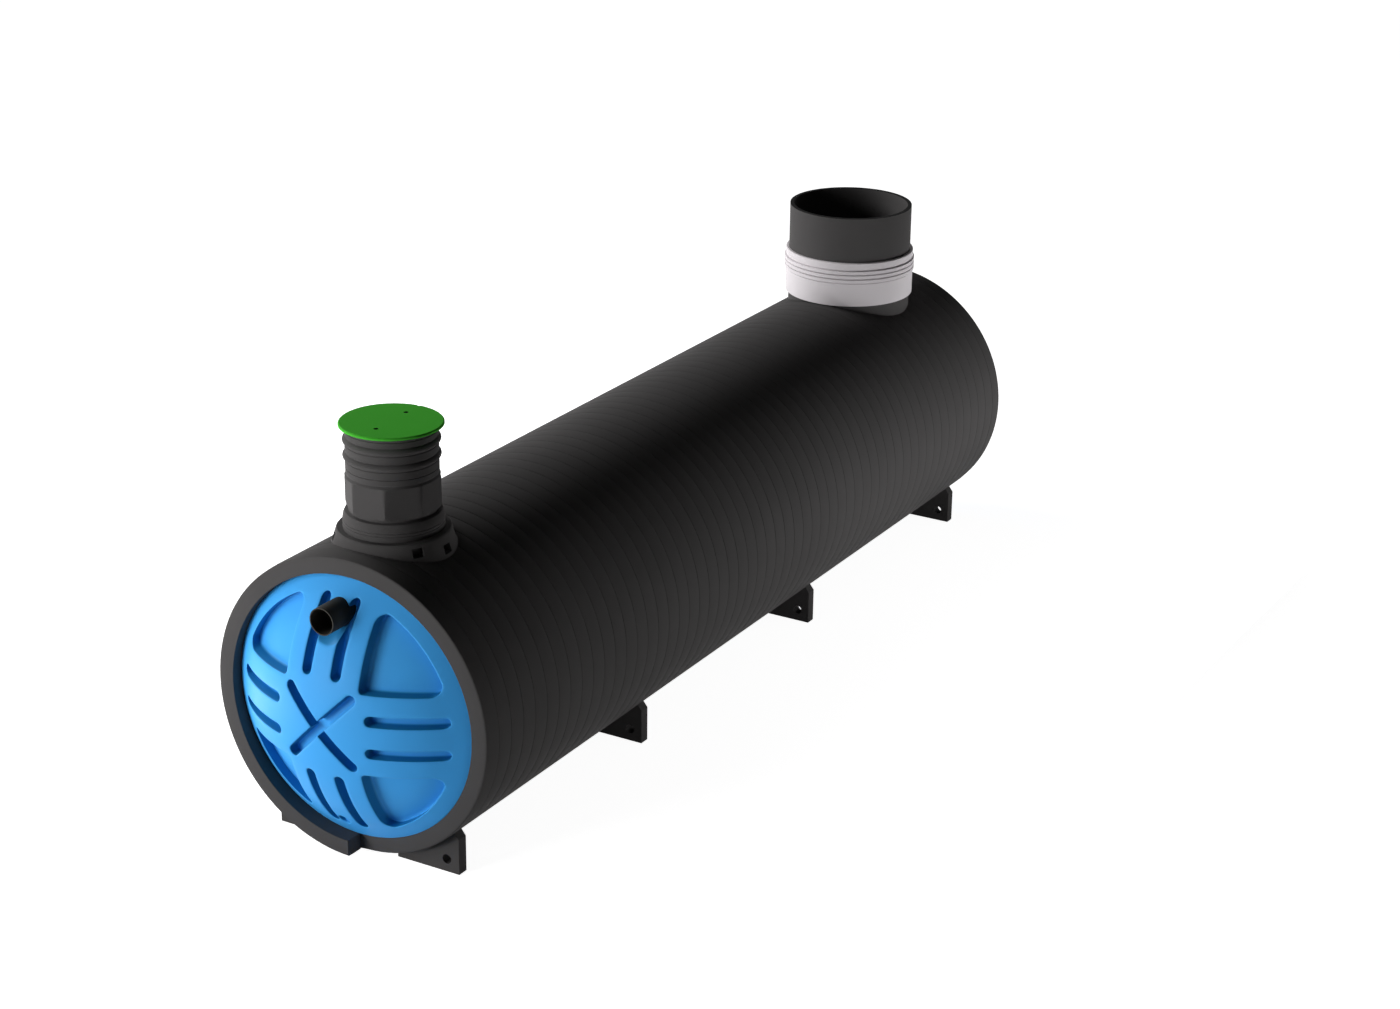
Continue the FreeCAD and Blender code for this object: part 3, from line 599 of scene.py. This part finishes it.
def end_cap(name, front):
    points, edges = cap_plan(front)
    flat, _, faces, *_ = delaunay_2d_cdt([Vector(point) for point in points], edges, [], 0, 1e-5)
    x = np.array([point.x for point in flat])
    z = np.array([point.y for point in flat])
    height = cap_height(x, z, front)
    out = -1 if front else 1
    points = np.stack([-out * x, out * (END_Y + height), AXIS_Z + z], axis=-1)
    border = np.flatnonzero(np.hypot(x, z) > CAP_R - 1e-4)
    border = border[np.argsort(np.arctan2(z[border], x[border]))]
    rim = points[border]
    length = len(border)
    mouth_r = math.sqrt(INNER_R ** 2 - (CREST - SKIRT) ** 2)
    rings = [(1.0, -SKIRT), (mouth_r / CAP_R, -SKIRT)]
    for radius in INNER_RINGS:
        rings.append((radius / CAP_R, math.sqrt(INNER_R ** 2 - radius ** 2) - CREST))
    blocks = [points]
    bands = []
    before = border
    total = len(points)
    for share, level in rings:
        ring = rim.copy()
        ring[:, 0] *= share
        ring[:, 1] = out * (END_Y + level)
        ring[:, 2] = AXIS_Z + (ring[:, 2] - AXIS_Z) * share
        blocks.append(ring)
        now = total + np.arange(length)
        bands.append(np.stack([before, now, np.roll(now, -1), np.roll(before, -1)], axis=-1))
        before = now
        total += length
    faces = list(faces) + np.concatenate(bands).tolist()
    faces.append(before[::-1].tolist())
    cap = add_mesh(name, np.concatenate(blocks).tolist(), faces)
    if front:
        carve(cap, INLET_HOLE_R, 1.2, (0, -END_Y, AXIS_Z + INLET_UP), (math.pi / 2, 0, 0))
    soften(cap, 40)
    return cap


finish_piece(end_cap("front_cap", True), cap_look, "blue_cap", "front_end_cap")
finish_piece(end_cap("rear_cap", False), cap_look, "blue_cap", "rear_end_cap")


# Riser neck in one piece: seat ring with fine grooves, barrel with eight flats, rolled ribs with sharp feet
RISER_STEPS = 144
BORE_INNER_R = 0.240
SPIGOT_R = 0.258
SEAT_R = 0.284
BARREL_R = 0.270
NECK_R = 0.2595
FLAT_R = 0.2495
FLAT_LEVELS = (1.063, 1.248)
NECK_ENDS = (0.800, 1.541)
SEAT_LEVEL = 0.945
RIB_PROUD = 0.0128
RIB_HALF = 0.0213
RIB_FOOT = 0.006
LINE_DEPTH = 0.004


def groove(radius, level):
    """Fine V-shaped groove round the neck, as deep as half its width."""
    return [(radius, level - LINE_DEPTH), (radius - LINE_DEPTH, level), (radius, level + LINE_DEPTH)]


def rib(level):
    """Rolled rib that meets the neck in a fine groove on both sides."""
    points = [(NECK_R, level - RIB_HALF - RIB_FOOT)]
    for share in (-1, -0.85, -0.6, -0.3, 0, 0.3, 0.6, 0.85, 1):
        rise = (RIB_PROUD + LINE_DEPTH) * (1 - share ** 2)
        points.append((NECK_R - LINE_DEPTH + rise, level + share * RIB_HALF))
    points.append((NECK_R, level + RIB_HALF + RIB_FOOT))
    return points


NECK_PROFILE = [
    (BORE_INNER_R, NECK_ENDS[0]), (SPIGOT_R, NECK_ENDS[0]), (SPIGOT_R, SEAT_LEVEL), (SEAT_R, SEAT_LEVEL),
    *groove(SEAT_R, 0.978), *groove(SEAT_R, 0.996),
    (0.279, 1.027), (BARREL_R, 1.045), (0.250, 1.050), (0.250, 1.062),
    (0.262, 1.066), (0.268, 1.073), (BARREL_R, 1.083), (BARREL_R, 1.240),
    (0.2647, FLAT_LEVELS[1]), (0.2647, FLAT_LEVELS[1] + 0.0002), (0.2555, 1.262), (NECK_R, 1.270),
    *groove(NECK_R, 1.300), *rib(1.367), *rib(1.458), *groove(NECK_R, 1.517),
    (NECK_R, NECK_ENDS[1]), (BORE_INNER_R, NECK_ENDS[1]),
]


def riser_neck():
    points = []
    for radius, level in NECK_PROFILE:
        for step in range(RISER_STEPS):
            turn = 2 * math.pi * step / RISER_STEPS
            reach = radius
            if FLAT_LEVELS[0] < level <= FLAT_LEVELS[1]:
                off_flat = (turn + math.pi / 8) % (math.pi / 4) - math.pi / 8
                reach = min(radius, FLAT_R / math.cos(off_flat))
            angle = RISER_TURN + turn
            points.append((reach * math.cos(angle), RISER_Y + reach * math.sin(angle), AXIS_Z + level))
    faces = []
    rows = len(NECK_PROFILE)
    for row in range(rows):
        low = row * RISER_STEPS
        high = (row + 1) % rows * RISER_STEPS
        for step in range(RISER_STEPS):
            after = (step + 1) % RISER_STEPS
            faces.append((low + step, low + after, high + after, high + step))
    return points, faces


neck = add_mesh("riser_neck", *riser_neck())
soften(neck, 25)
finish_piece(neck, riser_look, "riser_black", *[name for name in nodes if name.startswith("riser_neck_")])


# Camera at the photograph's viewing angle
CAMERA_AT = Vector((8.8021, -14.7185, 7.7524))
AZIMUTH = math.radians(29.9594)
ELEVATION = math.radians(21.3575)
ROLL = math.radians(0.7463)
right = Vector((math.cos(AZIMUTH), math.sin(AZIMUTH), 0))
back = Vector((
    math.sin(AZIMUTH) * math.cos(ELEVATION), -math.cos(AZIMUTH) * math.cos(ELEVATION), math.sin(ELEVATION)
))
up = back.cross(right)
rolled_right = right * math.cos(ROLL) + up * math.sin(ROLL)
rolled_up = back.cross(rolled_right)
camera_data = bpy.data.cameras.new("camera")
camera_data.sensor_fit = "HORIZONTAL"
camera_data.sensor_width = 36
camera_data.lens = 73.387
camera_data.clip_end = 200
camera = bpy.data.objects.new("camera", camera_data)
rotation = Matrix((rolled_right, rolled_up, back)).transposed().to_4x4()
camera.matrix_world = Matrix.Translation(CAMERA_AT) @ rotation
scene.collection.objects.link(camera)
scene.camera = camera


# Soft studio light: a window on the left, two in front, panels on the floor and two low lamps on the right
def lamp(name, at, to, width, height, watts):
    data = bpy.data.lights.new(name, "AREA")
    data.shape = "RECTANGLE"
    data.size = width
    data.size_y = height
    data.energy = watts
    obj = bpy.data.objects.new(name, data)
    obj.location = at
    obj.rotation_euler = (Vector(to) - Vector(at)).to_track_quat("-Z", "Y").to_euler()
    obj.visible_camera = False
    scene.collection.objects.link(obj)


def window(name, turn, rise, distance, target, width, height, watts):
    """Lamp aimed at a target, at a turn from the inlet end towards the right and a rise over the ground."""
    turn = math.radians(turn)
    rise = math.radians(rise)
    towards = Vector((math.sin(turn) * math.cos(rise), -math.cos(turn) * math.cos(rise), math.sin(rise)))
    lamp(name, Vector(target) + distance * towards, target, width, height, watts)


def strip(name, x, y, width, length, watts):
    """Lamp lying on the floor and shining upwards."""
    lamp(name, (x, y, 0.03), (x, y, 5.0), width, length, watts)


NEAR_END = (0, -3.2, 1.0)
window("left_window", -90, 30, 10, (0, 0, 1.0), 6, 3, 830)
window("front_window", -25, 6, 11, NEAR_END, 5, 3, 700)
window("front_high", -45, 25, 11, NEAR_END, 5, 3, 300)
strip("right_floor", 3.6, 4.6, 3.2, 8, 175)
strip("left_floor", -3.6, -5.0, 3.2, 4, 180)
lamp("right_low", (3.2, 3.4, 0.17), (0, 3.4, 0.17), 9, 0.3, 48)
lamp("feet_low", (3.4, -3.0, 0.16), (0.4, 1.5, 0.08), 1.0, 0.28, 15)


def background_rays(tree):
    """One for the rays that see the background as it is: camera, glossy and transmission rays."""
    paths = tree.nodes.new("ShaderNodeLightPath")
    total = None
    for name in ("Is Camera Ray", "Is Glossy Ray", "Is Transmission Ray"):
        if total is None:
            total = paths.outputs[name]
            continue
        either = tree.nodes.new("ShaderNodeMath")
        either.operation = "MAXIMUM"
        tree.links.new(total, either.inputs[0])
        tree.links.new(paths.outputs[name], either.inputs[1])
        total = either.outputs["Value"]
    return total


def studio_world(ambient):
    """White where it is seen, and a weak even light on the object."""
    world = bpy.data.worlds.new("studio")
    scene.world = world
    world.use_nodes = True
    tree = world.node_tree
    background = tree.nodes["Background"]
    background.inputs["Color"].default_value = (1, 1, 1, 1)
    level = tree.nodes.new("ShaderNodeMapRange")
    level.inputs["To Min"].default_value = ambient
    level.inputs["To Max"].default_value = 1.0
    tree.links.new(background_rays(tree), level.inputs["Value"])
    tree.links.new(level.outputs["Result"], background.inputs["Strength"])


def studio_floor():
    """White floor that keeps a faint shadow of the object."""
    bpy.ops.mesh.primitive_plane_add(size=160, location=(0, 0, -0.001))
    floor = bpy.context.object
    floor.name = "studio_floor"
    shader = Shader("floor_white")
    shader.bsdf.inputs["Base Color"].default_value = (0.8, 0.8, 0.8, 1)
    shader.bsdf.inputs["Roughness"].default_value = 1.0
    shader.bsdf.inputs["Specular IOR Level"].default_value = 0.0
    shader.bsdf.inputs["Emission Color"].default_value = (1, 1, 1, 1)
    away = shader.vector("LENGTH", shader.position())["Value"]
    white = shader.spread(away, FLOOR_NEAR, 1.0, start=4.0, end=6.0)
    seen = shader.math("MULTIPLY", background_rays(shader.tree), white)
    shader.link(seen, shader.bsdf.inputs["Emission Strength"])
    dress(floor, shader.material)


FLOOR_NEAR = 0.95
studio_world(0.01)
studio_floor()
